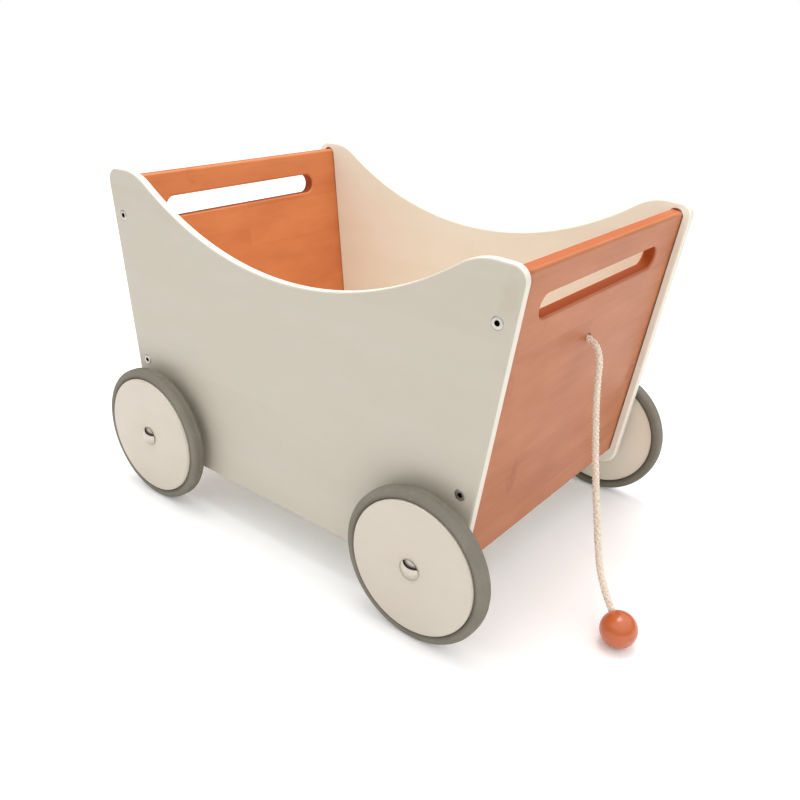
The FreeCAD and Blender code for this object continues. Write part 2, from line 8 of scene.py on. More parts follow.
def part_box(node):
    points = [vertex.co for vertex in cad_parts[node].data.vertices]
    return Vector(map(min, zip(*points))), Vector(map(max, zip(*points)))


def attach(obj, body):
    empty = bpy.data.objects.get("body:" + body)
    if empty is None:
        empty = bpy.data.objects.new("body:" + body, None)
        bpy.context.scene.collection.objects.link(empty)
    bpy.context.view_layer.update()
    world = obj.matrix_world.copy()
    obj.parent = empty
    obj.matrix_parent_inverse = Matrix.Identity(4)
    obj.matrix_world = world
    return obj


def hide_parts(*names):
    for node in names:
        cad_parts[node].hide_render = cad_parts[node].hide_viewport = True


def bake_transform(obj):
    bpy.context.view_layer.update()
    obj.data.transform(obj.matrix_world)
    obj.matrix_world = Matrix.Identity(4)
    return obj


# A wooden doll wagon with a pull cord, in metres. +X is the end with the cord, +Y is its left.

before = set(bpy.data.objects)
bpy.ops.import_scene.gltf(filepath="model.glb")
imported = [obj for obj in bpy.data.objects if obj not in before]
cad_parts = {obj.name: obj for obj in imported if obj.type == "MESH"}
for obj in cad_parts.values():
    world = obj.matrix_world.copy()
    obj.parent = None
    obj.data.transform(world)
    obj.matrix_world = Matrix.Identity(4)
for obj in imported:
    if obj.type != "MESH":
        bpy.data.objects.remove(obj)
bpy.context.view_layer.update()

TURN = 2 * math.pi
CORNERS = {
    "front_right": (1, -1),
    "front_left": (1, 1),
    "rear_right": (-1, -1),
    "rear_left": (-1, 1),
}


# ---------------------------------------------------------------- camera

CAMERA_AZIMUTH = math.radians(37.2)
CAMERA_ELEVATION = math.radians(25.14)
CAMERA_ROLL = math.radians(2.79)
CAMERA_DISTANCE = 0.877
CAMERA_LENS = 37.5
CAMERA_TARGET = Vector((0.0115, 0.008, 0.1069))


def make_camera():
    """A camera that looks at the target from an azimuth and an elevation, a little rolled."""
    data = bpy.data.cameras.new("camera")
    data.lens = CAMERA_LENS
    data.clip_start = 0.01
    camera = bpy.data.objects.new("camera", data)
    bpy.context.scene.collection.objects.link(camera)
    right = Vector((math.cos(CAMERA_AZIMUTH), math.sin(CAMERA_AZIMUTH), 0))
    back = Vector((
        math.sin(CAMERA_AZIMUTH) * math.cos(CAMERA_ELEVATION),
        -math.cos(CAMERA_AZIMUTH) * math.cos(CAMERA_ELEVATION),
        math.sin(CAMERA_ELEVATION),
    ))
    up = back.cross(right)
    rolled_right = right * math.cos(CAMERA_ROLL) + up * math.sin(CAMERA_ROLL)
    rolled_up = up * math.cos(CAMERA_ROLL) - right * math.sin(CAMERA_ROLL)
    turn = Matrix((rolled_right, rolled_up, back)).transposed()
    camera.matrix_world = Matrix.Translation(CAMERA_TARGET + back * CAMERA_DISTANCE) @ turn.to_4x4()
    bpy.context.scene.camera = camera


make_camera()


# ---------------------------------------------------------------- mesh helpers

ON_AXIS = 1e-7                         # a radius under this is a point on the axis


def finish_mesh(name, mesh_data, sharp_angle):
    """Make an object from a bmesh: outward normals, smooth faces, sharp true edges."""
    bmesh.ops.recalc_face_normals(mesh_data, faces=mesh_data.faces)
    mesh = bpy.data.meshes.new(name)
    mesh_data.to_mesh(mesh)
    mesh_data.free()
    mesh.shade_smooth()
    mesh.set_sharp_from_angle(angle=math.radians(sharp_angle))
    piece = bpy.data.objects.new(name, mesh)
    bpy.context.scene.collection.objects.link(piece)
    return piece


def round_profile(corners, steps=6):
    """The points of a profile whose corners (radius, level, rounding) are rounded by arcs."""
    points = []
    count = len(corners)
    for index, (radius, level, rounding) in enumerate(corners):
        here = Vector((radius, level))
        if rounding == 0:
            points.append(here)
            continue
        before = Vector(corners[index - 1][:2]) - here
        after = Vector(corners[(index + 1) % count][:2]) - here
        half = before.angle(after) / 2
        setback = rounding / math.tan(half)
        start = before.normalized() * setback
        end = after.normalized() * setback
        centre = (before.normalized() + after.normalized()).normalized() * (rounding / math.sin(half))
        sweep = (start - centre).angle_signed(end - centre)
        for step in range(steps + 1):
            spoke = start - centre
            spoke.rotate(Matrix.Rotation(-sweep * step / steps, 2))
            points.append(here + centre + spoke)
    return points


def reach_at(radius, angle, sides):
    """The distance from the axis to a polygon with this inner radius, or to a circle."""
    if sides == 0:
        return radius
    part = TURN / sides
    return radius / math.cos(angle % part - part / 2)


def quarter_arc(radius, steps=6):
    """How far along and how far up a quarter circle has come, at each of its steps."""
    turns = [math.pi / 2 * step / steps for step in range(steps + 1)]
    return [(radius * (1 - math.cos(turn)), radius * math.sin(turn)) for turn in turns]


def lathe(name, profile, place, segments, closed=True, sharp_angle=35):
    """Turn a profile of (radius, level) or (radius, level, sides) points.

    place gives the point for a radius, a level and an angle. A closed profile ends where it
    starts, and one that isn't closed has both its ends on the axis.
    """
    mesh_data = bmesh.new()
    rings = []
    for radius, level, *sides in profile:
        if radius < ON_AXIS:
            rings.append([mesh_data.verts.new(place(0, level, 0))])
            continue
        angles = [TURN * step / segments for step in range(segments)]
        rings.append([
            mesh_data.verts.new(place(reach_at(radius, angle, sum(sides)), level, angle))
            for angle in angles
        ])
    pairs = list(zip(rings, rings[1:]))
    if closed:
        pairs.append((rings[-1], rings[0]))
    for low, high in pairs:
        for step in range(segments):
            after = (step + 1) % segments
            corners = [low[step % len(low)], low[after % len(low)]]
            corners += [high[after % len(high)], high[step % len(high)]]
            unique = list(dict.fromkeys(corners))
            if len(unique) > 2:
                mesh_data.faces.new(unique)
    return finish_mesh(name, mesh_data, sharp_angle)


def about(centre_x, centre_z, side, level_zero):
    """Places lathe points about an axis across the wagon. Levels grow away from the wagon."""
    def place(radius, level, angle):
        return Vector((
            centre_x + radius * math.cos(angle),
            side * (level_zero + level),
            centre_z + radius * math.sin(angle),
        ))

    return place


def on_wheel(corner, level_zero):
    low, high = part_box(f"tyre_{corner}")
    return about((low[0] + high[0]) / 2, (low[2] + high[2]) / 2, CORNERS[corner][1], level_zero)


def span_y(node):
    """The least and greatest distance of a node from the wagon's middle plane."""
    low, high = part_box(node)
    near, far = sorted((abs(low[1]), abs(high[1])))
    return near, far


def radius_of(node):
    low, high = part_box(node)
    return (high[0] - low[0]) / 2


# ---------------------------------------------------------------- material helpers

X, Y, Z = 0, 1, 2

# The colour sockets of a Mix node, which share their names with its number sockets.
MIX_FACTOR = 0
MIX_FIRST = 6
MIX_SECOND = 7
MIX_RESULT = 2

# The bamboo strips that a board is glued up from.
STRIP_LENGTH = 0.34
STRIP_WIDTH = 0.021
STRIP_SEAM = 0.00016


def linear(*channels):
    """A colour given as 0 to 255 display values, as the shader wants it."""
    values = [channel / 255 for channel in channels]
    return tuple(v / 12.92 if v <= 0.04045 else ((v + 0.055) / 1.055) ** 2.4 for v in values) + (1,)


class Nodes:
    """A material's node tree, with one short method for each kind of node."""

    def __init__(self, name):
        self.material = bpy.data.materials.new(name)
        self.material.use_nodes = True
        self.tree = self.material.node_tree
        self.shader = self.tree.nodes["Principled BSDF"]
        coordinates = self.tree.nodes.new("ShaderNodeTexCoord")
        self.place = coordinates.outputs["Object"]
        self.normal = coordinates.outputs["Normal"]

    def link(self, source, target):
        self.tree.links.new(source, target)

    def node(self, kind, inputs=None, **settings):
        """A node whose inputs are linked to other nodes' outputs or set to plain values."""
        made = self.tree.nodes.new(kind)
        for key, value in settings.items():
            setattr(made, key, value)
        for key, value in (inputs or {}).items():
            if hasattr(value, "is_linked"):
                self.link(value, made.inputs[key])
            else:
                made.inputs[key].default_value = value
        return made

    def stretched(self, scale):
        """The piece's own coordinates, scaled, so that a texture is as long as its grain."""
        mapping = self.node("ShaderNodeMapping", {"Vector": self.place, "Scale": scale})
        return mapping.outputs["Vector"]

    def axes(self, vector):
        """A vector's three parts."""
        return self.node("ShaderNodeSeparateXYZ", {"Vector": vector}).outputs

    def reach(self):
        """The distance from the piece's own Y axis."""
        flat = self.node("ShaderNodeVectorMath", {0: self.place, 1: (1, 0, 1)}, operation="MULTIPLY")
        distance = self.node("ShaderNodeVectorMath", {0: flat.outputs["Vector"]}, operation="LENGTH")
        return distance.outputs["Value"]

    def noise(self, vector, scale, detail, roughness=0.55, distortion=0.0):
        texture = self.node("ShaderNodeTexNoise", {
            "Vector": vector,
            "Scale": scale,
            "Detail": detail,
            "Roughness": roughness,
            "Distortion": distortion,
        })
        return texture.outputs["Fac"]

    def ramp(self, value, low, high, to_low=0.0, to_high=1.0):
        mapped = self.node("ShaderNodeMapRange", {
            "Value": value,
            "From Min": low,
            "From Max": high,
            "To Min": to_low,
            "To Max": to_high,
        })
        return mapped.outputs["Result"]

    def maths(self, operation, first, second=0.0):
        return self.node("ShaderNodeMath", {0: first, 1: second}, operation=operation).outputs[0]

    def mix(self, factor, first, second, blend="MIX"):
        made = self.node("ShaderNodeMix", {
            MIX_FACTOR: factor,
            MIX_FIRST: first,
            MIX_SECOND: second,
        }, data_type="RGBA", blend_type=blend)
        return made.outputs[MIX_RESULT]

    def bump(self, height, distance, strength):
        made = self.node("ShaderNodeBump", {"Height": height, "Distance": distance, "Strength": strength})
        return made.outputs["Normal"]

    def finish(self, colour, roughness, normal, **constants):
        for value, socket in ((colour, "Base Color"), (roughness, "Roughness"), (normal, "Normal")):
            self.link(value, self.shader.inputs[socket])
        for key, value in constants.items():
            self.shader.inputs[key.replace("_", " ")].default_value = value
        return self.material


def dress(piece, material):
    """Give a piece or a carried-over CAD node its material."""
    if not piece.material_slots:
        piece.data.materials.append(material)
        return piece
    for place in piece.material_slots:
        place.link = "OBJECT"
        place.material = material
    return piece


def outside_painted_shade(nodes, colour, tint, normal_axis):
    """Painted shade: darken the faces that look away from the wagon's middle."""
    away = nodes.maths("SIGN", nodes.axes(nodes.place)[normal_axis])
    away = nodes.maths("MULTIPLY", away, nodes.axes(nodes.normal)[normal_axis])
    return nodes.mix(nodes.ramp(away, 0.2, 0.6), colour, tint, "MULTIPLY")


def painted_wood(name, colours, along, across, tint, show, slot=None):
    """Bamboo board under a thin satin paint: strips, fine grain, stem joints and rim-coloured edges.

    colours are the paint, where it is dark, where it is pale, and the edges' rim. along and across
    are the axes of the board's length and width. tint is painted shade for its outer face, and show
    says how plainly the bamboo shows. slot is the colour of the painted shade inside a handle slot
    and the levels that the slot lies between.
    """
    paint, dark, pale, rim = colours
    normal_axis = X + Y + Z - along - across
    nodes = Nodes(name)

    def scaled(lengthwise, crosswise, inwards):
        """The board's coordinates, scaled along its grain, across it and into its thickness."""
        scale = [inwards, inwards, inwards]
        scale[along] = lengthwise
        scale[across] = crosswise
        return nodes.stretched(scale)

    place = nodes.axes(nodes.place)
    flat = nodes.node("ShaderNodeCombineXYZ", {"X": place[along], "Y": place[across]})
    strips = nodes.node("ShaderNodeTexBrick", {
        "Vector": flat.outputs[0],
        "Color1": (0, 0, 0, 1),
        "Color2": (1, 1, 1, 1),
        "Mortar": (0.5, 0.5, 0.5, 1),
        "Scale": 1.0,
        "Mortar Size": STRIP_SEAM,
        "Mortar Smooth": 0.8,
        "Brick Width": STRIP_LENGTH,
        "Row Height": STRIP_WIDTH,
    }, offset=0.37, offset_frequency=2)
    seam = strips.outputs["Fac"]
    tone = nodes.ramp(strips.outputs["Color"], 0.0, 1.0, 0.0, 0.55 * show)
    grain = nodes.noise(scaled(7.0, 300.0, 60.0), 1.0, 4.0)
    streak = nodes.ramp(grain, 0.38, 0.8, 0.0, 0.12 * show)
    cloud = nodes.noise(scaled(16.0, 46.0, 16.0), 1.0, 2.0)

    # A stem joint is a small blot with a ragged edge, in a cell of its own.
    cells = nodes.node("ShaderNodeTexVoronoi", {
        "Vector": scaled(34.0, 15.0, 34.0),
        "Scale": 0.42,
        "Randomness": 1.0,
    })
    wisp = nodes.noise(nodes.place, 160.0, 3.0)
    spot = nodes.maths("ADD", cells.outputs["Distance"], nodes.ramp(wisp, 0.3, 0.7, 0.0, 0.09))
    joint = nodes.ramp(spot, 0.08, 0.18, 1.1 * show, 0.0)

    colour = nodes.mix(tone, paint, dark)
    colour = nodes.mix(streak, colour, dark)
    colour = nodes.mix(nodes.ramp(cloud, 0.35, 0.7, 0.0, 0.5 * show + 0.1), colour, pale)
    colour = nodes.mix(joint, colour, dark)
    colour = nodes.mix(nodes.maths("MULTIPLY", seam, 0.35 * show), colour, dark)
    # Painted shade on the board's outer face.
    colour = outside_painted_shade(nodes, colour, tint, normal_axis)
    facing = nodes.maths("ABSOLUTE", nodes.axes(nodes.normal)[normal_axis])
    edge = nodes.maths("SUBTRACT", 1.0, facing)
    colour = nodes.mix(nodes.ramp(edge, 0.5, 0.95, 0.0, 0.9), colour, rim)

    fine = nodes.noise(nodes.place, 900.0, 2.0)
    roughness = nodes.ramp(nodes.maths("ADD", grain, fine), 0.7, 1.4, 0.4, 0.54)
    if slot:
        slot_shade, low, high = slot
        above = nodes.ramp(place[Z], low - 0.001, low)
        below = nodes.ramp(place[Z], high, high + 0.001, 1.0, 0.0)
        inside = nodes.maths("MULTIPLY", nodes.maths("MULTIPLY", above, below), nodes.ramp(edge, 0.35, 0.9))
        # Painted shade on the handle slot's inner faces, which are also made matt.
        colour = nodes.mix(inside, colour, slot_shade)
        roughness = nodes.maths("MAXIMUM", roughness, inside)
    height = nodes.maths("ADD", nodes.maths("MULTIPLY", grain, 0.5), nodes.maths("MULTIPLY", fine, 0.25))
    height = nodes.maths("SUBTRACT", height, nodes.maths("MULTIPLY", seam, 0.7))
    normal = nodes.bump(height, 0.0001, 0.2 * show + 0.1)
    return nodes.finish(
        colour, roughness, normal, Specular_IOR_Level=0.32, Coat_Weight=0.05, Coat_Roughness=0.3)


def turned_paint(name, paint, dark, pale, show, tint=None, coat=0.08):
    """Satin paint on turned wood, with the wood's long grain just showing through.

    tint is painted shade for the faces of a wheel that look away from the wagon.
    """
    nodes = Nodes(name)
    grain = nodes.noise(nodes.stretched((10, 120, 320)), 1.0, 5.0, 0.6, 0.4)
    cloud = nodes.noise(nodes.place, 22.0, 2.0)
    fine = nodes.noise(nodes.place, 1100.0, 2.0)
    colour = nodes.mix(nodes.ramp(grain, 0.35, 0.75, 0.0, 0.55 * show), paint, dark)
    colour = nodes.mix(nodes.ramp(cloud, 0.35, 0.7, 0.0, 0.15), colour, pale)
    if tint:
        # Painted shade on the faces of the wheel that look away from the wagon.
        colour = outside_painted_shade(nodes, colour, tint, Y)
    roughness = nodes.ramp(nodes.maths("ADD", grain, fine), 0.7, 1.4, 0.34, 0.48)
    height = nodes.maths("ADD", nodes.maths("MULTIPLY", grain, 0.6), nodes.maths("MULTIPLY", fine, 0.2))
    normal = nodes.bump(height, 0.0001, 0.4)
    return nodes.finish(
        colour, roughness, normal, Specular_IOR_Level=0.45, Coat_Weight=coat, Coat_Roughness=0.14)


def soft_tyre(name, seam):
    """Matt foam rubber: a fine skin, cloudy tone, a little dust, and painted shade by the seam's radius."""
    nodes = Nodes(name)
    skin = nodes.noise(nodes.place, 1400.0, 3.0)
    pores = nodes.node("ShaderNodeTexVoronoi", {"Vector": nodes.place, "Scale": 900.0})
    cloud = nodes.noise(nodes.place, 30.0, 4.0)
    dust = nodes.noise(nodes.place, 75.0, 5.0, 0.7)
    colour = nodes.mix(cloud, linear(112, 107, 96), linear(136, 130, 117))
    colour = nodes.mix(nodes.ramp(dust, 0.56, 0.8, 0.0, 0.35), colour, linear(176, 170, 158))
    # Painted shade next to the disc, where its rim would shade the tyre.
    seam_shade = nodes.ramp(nodes.reach(), seam, seam + 0.0042, 0.85, 0.0)
    colour = nodes.mix(seam_shade, colour, linear(66, 62, 54))
    roughness = nodes.ramp(skin, 0.3, 0.7, 0.68, 0.84)
    height = nodes.maths("ADD", skin, nodes.maths("MULTIPLY", pores.outputs["Distance"], 0.5))
    normal = nodes.bump(height, 0.00008, 0.5)
    return nodes.finish(colour, roughness, normal, Specular_IOR_Level=0.3)


def cotton(name):
    """Unbleached cotton yarn with fine fibres."""
    nodes = Nodes(name)
    fibre = nodes.noise(nodes.place, 2400.0, 4.0, 0.7, 0.6)
    tuft = nodes.noise(nodes.place, 700.0, 3.0)
    colour = nodes.mix(nodes.ramp(tuft, 0.35, 0.65), linear(230, 210, 188), linear(251, 243, 229))
    colour = nodes.mix(nodes.ramp(fibre, 0.5, 0.72, 0.0, 0.55), colour, linear(200, 170, 140))
    roughness = nodes.ramp(fibre, 0.3, 0.7, 0.8, 0.95)
    normal = nodes.bump(nodes.maths("ADD", fibre, tuft), 0.0003, 0.9)
    return nodes.finish(
        colour, roughness, normal, Specular_IOR_Level=0.2, Sheen_Weight=0.35, Sheen_Roughness=0.5)


def metal(name, bright, dark, roughness_low, roughness_high, socket=None):
    """Plated metal with fine turning marks and a dull bloom.

    socket is the colour of the painted shade inside a bolt's socket and the socket's radius about
    the piece's own Y axis.
    """
    nodes = Nodes(name)
    marks = nodes.noise(nodes.place, 3200.0, 2.0)
    bloom = nodes.noise(nodes.place, 300.0, 3.0)
    colour = nodes.mix(bloom, bright, dark)
    if socket:
        inside, radius = socket
        # Painted shade inside the bolt's socket.
        colour = nodes.mix(nodes.ramp(nodes.reach(), radius, radius * 1.08, 1.0, 0.0), colour, inside)
    roughness = nodes.ramp(nodes.maths("ADD", marks, bloom), 0.7, 1.3, roughness_low, roughness_high)
    normal = nodes.bump(marks, 0.00003, 0.4)
    return nodes.finish(colour, roughness, normal, Metallic=1.0)


def nylon(name, pale, dark):
    """Moulded plastic with a faint flow mottle."""
    nodes = Nodes(name)
    mottle = nodes.noise(nodes.place, 160.0, 3.0)
    fine = nodes.noise(nodes.place, 2400.0, 2.0)
    colour = nodes.mix(mottle, pale, dark)
    roughness = nodes.ramp(fine, 0.3, 0.7, 0.4, 0.55)
    normal = nodes.bump(fine, 0.00004, 0.4)
    return nodes.finish(colour, roughness, normal, Specular_IOR_Level=0.45)


CREAM_PALE = linear(250, 247, 240)
CREAM = (linear(243, 241, 225), linear(231, 222, 203), CREAM_PALE, linear(228, 221, 207))
# Painted shade: the side boards' outer faces are darkened by this much.
CREAM_OUTSIDE_SHADE = (0.615, 0.58, 0.56, 1)
# Painted shade: the floor board's top is darkened by this much.
CREAM_TOP_SHADE = (0.82, 0.8, 0.77, 1)
TERRACOTTA = (linear(214, 128, 76), linear(190, 97, 52), linear(232, 146, 92), linear(178, 84, 32))
# Painted shade: the end boards' outer faces are darkened and greyed by this much.
TERRACOTTA_OUTSIDE_SHADE = (0.71, 0.77, 0.92, 1)
# Painted shade inside the handle slots.
SLOT_SHADE = linear(158, 70, 24)
SLOT_LEVELS = (0.27, 0.304)
# Painted shade: the discs' outer faces are darkened by this much.
DISC_OUTSIDE_SHADE = (0.7, 0.69, 0.7, 1)
# Painted shade inside the bolts' sockets.
BOLT_SOCKET_SHADE = linear(46, 42, 38)
BOLT_SOCKET_REACH = 0.0022

side_paint = painted_wood("cream_paint_on_bamboo", CREAM, X, Z, CREAM_OUTSIDE_SHADE, 0.35)
floor_paint = painted_wood("cream_paint_on_floor", CREAM, X, Y, CREAM_TOP_SHADE, 0.45)
end_paint = painted_wood(
    "terracotta_paint_on_bamboo", TERRACOTTA, Y, Z, TERRACOTTA_OUTSIDE_SHADE, 0.7,
    slot=(SLOT_SHADE, *SLOT_LEVELS))
disc_paint = turned_paint(
    "cream_paint_on_discs", linear(240, 229, 210), linear(228, 214, 192), CREAM_PALE, 0.35,
    tint=DISC_OUTSIDE_SHADE)
ball_paint = turned_paint(
    "terracotta_paint_on_ball", linear(196, 96, 44), linear(166, 74, 32), linear(210, 112, 60), 0.7,
    coat=0.7)
tyre_rubber = soft_tyre("tyre_foam_rubber", radius_of("wheel_disc_front_right"))
cotton_yarn = cotton("cotton_yarn")
zinc = metal("zinc_plated_steel", linear(226, 223, 216), linear(204, 200, 192), 0.42, 0.55)
bolt_zinc = metal(
    "zinc_plated_bolts", linear(214, 210, 202), linear(190, 186, 178), 0.34, 0.48,
    socket=(BOLT_SOCKET_SHADE, BOLT_SOCKET_REACH))
chrome = metal("polished_chrome", linear(200, 192, 180), linear(186, 177, 164), 0.08, 0.14)
brass = metal("brass", linear(214, 180, 110), linear(180, 146, 84), 0.3, 0.45)
bush_nylon = nylon("bush_nylon", linear(226, 222, 212), linear(210, 204, 192))
spacer_nylon = nylon("spacer_nylon", linear(196, 189, 176), linear(180, 172, 158))


# ---------------------------------------------------------------- the pull cord

CORD_DIAMETER = 0.0065
CORD_LAY = 0.0245                      # along the cord, for one turn of a strand
STRANDS = 8
STRAND_WIDTH = 0.0029
STRAND_THICKNESS = 0.0017
STRAND_SIDES = 16                      # of the mesh, around one strand
BRAID_RELIEF = 0.36                    # how far a strand moves in and out, in strand thicknesses
BRAID_GAP = 0.0006                     # along the cord, from one row of the mesh to the next
YARNS = 5
YARN_RELIEF = 0.1
YARN_TWIST = 3                         # turns of the yarns for each turn of their strand
CORE_SHARE = 0.8                       # of the radius that the strands lie at

KNOT_LOBE = 0.0026                     # a third of the knot's widest reach
KNOT_DEPTH = 0.0062                    # from the cord's start to the knot's middle
KNOT_LEAD = 0.002                      # straight cord before the knot
KNOT_OPEN = (0.30, 0.62)               # radians left out of the knot's loop at its two ends
KNOT_TAIL = [(-0.001, 0.0015, -0.007), (0.0005, 0.002, -0.0155)]

# The route of the pull cord: through the front board, over the edge of its hole, down, and
# forward into the ball that lies on the floor.
CORD_ROUTE = [
    (0.2014, 0.0, 0.2366),
    (0.2190, 0.0, 0.2344),
    (0.2315, -0.0095, 0.2250),
    (0.2342, -0.0136, 0.2060),
    (0.2369, -0.0162, 0.1875),
    (0.2419, -0.0189, 0.1620),
    (0.2499, -0.0248, 0.1285),
    (0.2614, -0.0316, 0.0880),
    (0.2726, -0.0401, 0.0525),
    (0.2840, -0.0482, 0.0360),
    (0.2978, -0.0574, 0.0246),
    (0.3062, -0.0631, 0.0182),
]


def spline_points(route, steps):
    """Points along the smooth NURBS line that has the route as its control points."""
    data = bpy.data.curves.new("route", "CURVE")
    data.dimensions = "3D"
    data.resolution_u = steps
    spline = data.splines.new("NURBS")
    spline.points.add(len(route) - 1)
    for point, place in zip(spline.points, route):
        point.co = (*place, 1)
    spline.order_u = 3
    spline.use_endpoint_u = True
    holder = bpy.data.objects.new("route", data)
    mesh = bpy.data.meshes.new_from_object(holder)
    points = [vertex.co.copy() for vertex in mesh.vertices]
    bpy.data.objects.remove(holder)
    bpy.data.meshes.remove(mesh)
    return points


def even_points(points, gap):
    """The same line with its points an even gap apart."""
    lengths = [0.0]
    for before, after in zip(points, points[1:]):
        lengths.append(lengths[-1] + (after - before).length)
    count = max(2, round(lengths[-1] / gap))
    even = []
    segment = 0
    for step in range(count + 1):
        want = lengths[-1] * step / count
        while segment < len(points) - 2 and lengths[segment + 1] < want:
            segment += 1
        part = (want - lengths[segment]) / (lengths[segment + 1] - lengths[segment])
        even.append(points[segment].lerp(points[segment + 1], part))
    return even, lengths[-1]


def braid_rope(name, points):
    """Strands braided round a line: half go round one way and half the other, over and under."""
    line, length = even_points(points, BRAID_GAP)
    half_thickness = STRAND_THICKNESS / 2
    wave = STRAND_THICKNESS * BRAID_RELIEF
    middle_radius = CORD_DIAMETER / 2 - half_thickness - wave
    slant = math.sqrt(1 + (TURN * middle_radius / CORD_LAY) ** 2)
    half_width = STRAND_WIDTH / 2 * slant
    carriers = [(way, number) for way in (1, -1) for number in range(STRANDS // 2)]
    around = [TURN * step / STRAND_SIDES for step in range(STRAND_SIDES)]
    mesh_data = bmesh.new()
    rings = [[] for _ in range(STRANDS + 1)]
    side = (line[1] - line[0]).orthogonal().normalized()
    travelled = 0.0
    for index, point in enumerate(line):
        ahead = line[min(index + 1, len(line) - 1)]
        behind = line[max(index - 1, 0)]
        tangent = (ahead - behind).normalized()
        side = (side - tangent * side.dot(tangent)).normalized()
        across = tangent.cross(side)
        if index:
            travelled += (point - line[index - 1]).length
        turned = TURN * travelled / CORD_LAY
        lift = wave * math.cos(turned * STRANDS / 2)
        for ring, (way, number) in zip(rings, carriers):
            angle = way * turned + TURN * number / (STRANDS // 2)
            outward = side * math.cos(angle) + across * math.sin(angle)
            sideways = across * math.cos(angle) - side * math.sin(angle)
            middle = point + outward * (middle_radius + way * lift)
            section = []
            for turn in around:
                lobe = 1 + YARN_RELIEF * math.cos(YARNS * turn + way * YARN_TWIST * turned)
                section.append(mesh_data.verts.new(
                    middle + outward * half_thickness * lobe * math.cos(turn)
                    + sideways * half_width * lobe * math.sin(turn)))
            ring.append(section)
        core = []
        for turn in around:
            spoke = side * math.cos(turn) + across * math.sin(turn)
            core.append(mesh_data.verts.new(point + spoke * middle_radius * CORE_SHARE))
        rings[-1].append(core)
    for sections in rings:
        for low, high in zip(sections, sections[1:]):
            for step in range(STRAND_SIDES):
                after = (step + 1) % STRAND_SIDES
                mesh_data.faces.new((low[step], low[after], high[after], high[step]))
        mesh_data.faces.new(sections[0])
        mesh_data.faces.new(sections[-1])
    return finish_mesh(name, mesh_data, 60), line, length


cord_line = spline_points(CORD_ROUTE, 24)
cord_piece, cord_path, cord_length = braid_rope("pull_cord_rope", cord_line)
dress(cord_piece, cotton_yarn)


def make_stop_knot():
    """The overhand knot behind the front board, with its short tail hanging down."""
    start = Vector(CORD_ROUTE[0])
    inwards = (start - Vector(CORD_ROUTE[1])).normalized()
    left = Vector((0, 1, 0))
    up = inwards.cross(left)
    route = [start - inwards * KNOT_LEAD]
    first = KNOT_OPEN[0]
    last = TURN - KNOT_OPEN[1]
    steps = 28
    for step in range(steps + 1):
        angle = first + (last - first) * step / steps
        reach = KNOT_LOBE * (2 + math.cos(3 * angle))
        route.append(
            start + inwards * (KNOT_DEPTH + KNOT_LOBE * math.sin(3 * angle))
            + left * reach * math.cos(2 * angle)
            + up * reach * math.sin(2 * angle))
    tail = route[-1]
    route += [tail + Vector(point) for point in KNOT_TAIL]
    knot, _, _ = braid_rope("stop_knot_rope", spline_points(route, 8))
    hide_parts("cord_stop_knot")
    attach(knot, "chassis")
    return dress(knot, cotton_yarn)


make_stop_knot()


# ---------------------------------------------------------------- the ball

def make_ball():
    """A turned ball with a softly broken edge round the bore that the cord goes into."""
    low, high = (Vector(corner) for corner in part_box("pull_ball"))
    centre = (low + high) / 2
    radius = (high.z - low.z) / 2
    axis = (Vector(CORD_ROUTE[-2]) - centre).normalized()
    side = axis.orthogonal().normalized()
    across = axis.cross(side)
    bore = 0.0034
    bore_depth = 0.012
    mouth = 0.0009

    def place(distance, level, angle):
        return centre + axis * level + (side * math.cos(angle) + across * math.sin(angle)) * distance

    bottom = radius - bore_depth
    edge = math.asin((bore + mouth) / radius)
    top = radius * math.cos(edge)
    profile = [(0, bottom), (bore, bottom)]
    profile += [(bore + along, top - mouth + up) for along, up in quarter_arc(mouth)[:-1]]
    slices = 60
    for step in range(slices + 1):
        angle = edge + (math.pi - edge) * step / slices
        profile.append((radius * math.sin(angle) if step < slices else 0, radius * math.cos(angle)))
    ball = lathe("pull_ball_turned", profile, place, 96, closed=False, sharp_angle=50)
    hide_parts("pull_ball")
    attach(ball, "pull")
    return dress(ball, ball_paint)


ball_piece = make_ball()

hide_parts("pull_cord")
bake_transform(cord_piece)


# ---------------------------------------------------------------- the wheels

def make_tyre(corner):
    """A tyre with a slightly crowned tread, round shoulders and a fine mould line."""
    near, far = span_y(f"tyre_{corner}")
    outer = radius_of(f"tyre_{corner}")
    inner = radius_of(f"wheel_disc_{corner}")
    width = far - near
    middle = width / 2
    shoulder = 0.0038
    lip = 0.0022
    crown = 0.00035
    line_depth = 0.00025
    line_foot = 0.0003
    line_mouth = 0.0009
    profile = round_profile([
        (inner, 0, lip),
        (outer - crown, 0, shoulder),
        (outer, middle - line_mouth, 0),
        (outer - line_depth, middle - line_foot, 0),
        (outer - line_depth, middle + line_foot, 0),
        (outer, middle + line_mouth, 0),
        (outer - crown, width, shoulder),
        (inner, width, lip),
    ])
    low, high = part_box(f"tyre_{corner}")
    tyre = lathe(
        f"tyre_ring_{corner}", profile, about(0, 0, CORNERS[corner][1], near), 192, sharp_angle=50)
    tyre.location = ((low[0] + high[0]) / 2, 0, (low[2] + high[2]) / 2)
    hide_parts(f"tyre_{corner}")
    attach(tyre, f"wheel_{corner}")
    return dress(tyre, tyre_rubber)


def make_disc(corner):
    """A wheel disc with a round rim."""
    near, far = span_y(f"wheel_disc_{corner}")
    outer = radius_of(f"wheel_disc_{corner}")
    bush = radius_of(f"hub_bush_{corner}")
    width = far - near
    back_rim = 0.0008
    face_rim = 0.0018
    bush_rim = 0.0002
    profile = round_profile([
        (bush, 0, 0),
        (outer, 0, back_rim),
        (outer, width, face_rim),
        (bush, width, bush_rim),
    ], 8)
    disc = lathe(f"wheel_disc_turned_{corner}", profile, on_wheel(corner, near), 192)
    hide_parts(f"wheel_disc_{corner}")
    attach(disc, f"wheel_{corner}")
    return dress(disc, disc_paint)


